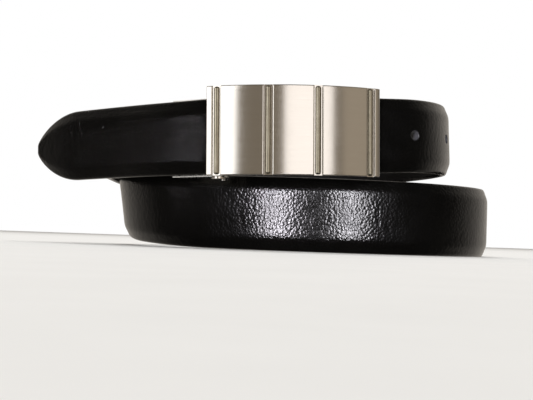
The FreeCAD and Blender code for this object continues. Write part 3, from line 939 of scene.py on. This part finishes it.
# ------------------------------------------------------------------ the pieces
outer_leather = leather(
    "black_grained_leather",
    dark=(0.0022, 0.0021, 0.0018, 1), worn=(0.004, 0.0037, 0.0031, 1),
    raw=(0.05, 0.05, 0.055, 1), roughness=0.175, pebble=0.0011, depth=0.000055,
)
inner_leather = leather(
    "dark_lining_leather", dark=(0.016, 0.0145, 0.0135, 1), worn=(0.028, 0.025, 0.022, 1),
    raw=(0.05, 0.045, 0.04, 1), roughness=0.6, pebble=0.0007, depth=0.00004,
)
strap = strap_layer("strap_outer_leather", strap_section, 0.0, True, outer_leather,
                    "strap_face")
lining = strap_layer("strap_lining_leather", lining_section, 3.5, False, inner_leather,
                     "strap_lining")

metal_pieces = [plate_piece(brushed_steel())]
# The ribs' darkened tones carry painted shade of their grooves.
rib_finish = polished_metal("polished_rib", RIB_TONES_PAINTED_SHADE, 0.16, 900.0)
for rib_number, rib_angle in enumerate(RIB_ANGLES, start=1):
    metal_pieces.append(rib_piece(rib_number, rib_angle, rib_finish))

# The fittings' darkened tones carry painted shade from under the plate.
fitting = polished_metal("plated_fitting", FITTING_TONES_PAINTED_SHADE, 0.24, 600.0)
for node_name in ("prong", "hinge_pin", "clamp_body", "clamp_flap", "flap_pin"):
    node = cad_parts[node_name]
    metal_pieces.append(node)
    node.data.materials.clear()
    node.data.materials.append(fitting)
    softened = node.modifiers.new("softened_edges", "BEVEL")
    softened.width = SOFTENED_EDGE
    softened.segments = 2
    softened.limit_method = "ANGLE"
    softened.angle_limit = SOFTENED_ANGLE
    softened.harden_normals = True
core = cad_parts["strap_core"]
leather_pieces = [strap, lining, core]
core.data.materials.clear()
core.data.materials.append(fibre_filler())

# ------------------------------------------------------------------ floor, light, camera
floor_mesh = bpy.data.meshes.new("floor")
floor_mesh.from_pydata(
    [(-FLOOR_SIZE, -FLOOR_SIZE, 0), (FLOOR_SIZE, -FLOOR_SIZE, 0),
     (FLOOR_SIZE, FLOOR_SIZE, 0), (-FLOOR_SIZE, FLOOR_SIZE, 0)], [], [(0, 1, 2, 3)]
)
floor = bpy.data.objects.new("floor", floor_mesh)
bpy.context.scene.collection.objects.link(floor)
floor_mesh.materials.append(floor_material())
floor.visible_glossy = False


def softbox(name, azimuth, distance, height, size, power, tint, aim=LIT_PLACE):
    """A soft light on its stand, facing the place it is aimed at."""
    light = bpy.data.lights.new(name, "AREA")
    light.shape = "RECTANGLE"
    light.size, light.size_y = size
    light.energy = power
    light.color = tint
    a = math.radians(azimuth)
    at = aim + Vector((distance * math.sin(a), -distance * math.cos(a), height))
    obj = bpy.data.objects.new(name, light)
    obj.location = at
    obj.rotation_euler = (aim - at).to_track_quat("-Z", "Y").to_euler()
    bpy.context.scene.collection.objects.link(obj)
    return obj


for light_set, lit in (
    (METAL_LIGHTS, metal_pieces), (LEATHER_LIGHTS, leather_pieces), (FLOOR_LIGHTS, [floor])
):
    receivers = bpy.data.collections.new("lit_by_" + next(iter(light_set)))
    for piece in lit:
        receivers.objects.link(piece)
    for light_name, settings in light_set.items():
        softbox(light_name, *settings).light_linking.receiver_collection = receivers
tail_light = softbox("tail_strip", *TAIL_LIGHT, aim=TAIL_PLACE)
tail_light.data.spread = TAIL_SPREAD
tail_light.light_linking.receiver_collection = bpy.data.collections["lit_by_left_strip"]

world = bpy.data.worlds.new("studio")
bpy.context.scene.world = world
world.use_nodes = True
sky = world.node_tree
direction = add(sky, "TexCoord").outputs["Generated"]
split = add(sky, "SeparateXYZ", {0: direction})
behind = between(sky, split.outputs["Y"], FRONT_GLOW, BACK_GLOW, GLOW_FROM, GLOW_TO)
seen = add(sky, "LightPath").outputs["Is Camera Ray"]
strength = add(sky, "Mix", {0: seen, 2: behind, 3: 1.0}, data_type="FLOAT").outputs[0]
background = sky.nodes["Background"]
tint = mix_colour(sky, seen, GLOW_TINT, (1, 1, 1, 1))
sky.links.new(tint, background.inputs["Color"])
sky.links.new(strength, background.inputs["Strength"])

camera_data = bpy.data.cameras.new("camera")
camera_data.lens = CAMERA_LENS
camera_data.sensor_width = 36.0
camera_data.clip_start = 0.01
camera = bpy.data.objects.new("camera", camera_data)
camera.matrix_world = (
    Matrix.Translation(CAMERA_PLACE)
    @ Matrix.Rotation(math.pi / 2 + CAMERA_PITCH, 4, "X")
    @ Matrix.Rotation(CAMERA_ROLL, 4, "Z")
)
bpy.context.scene.collection.objects.link(camera)
bpy.context.scene.camera = camera
bpy.context.scene.view_settings.view_transform = "Standard"
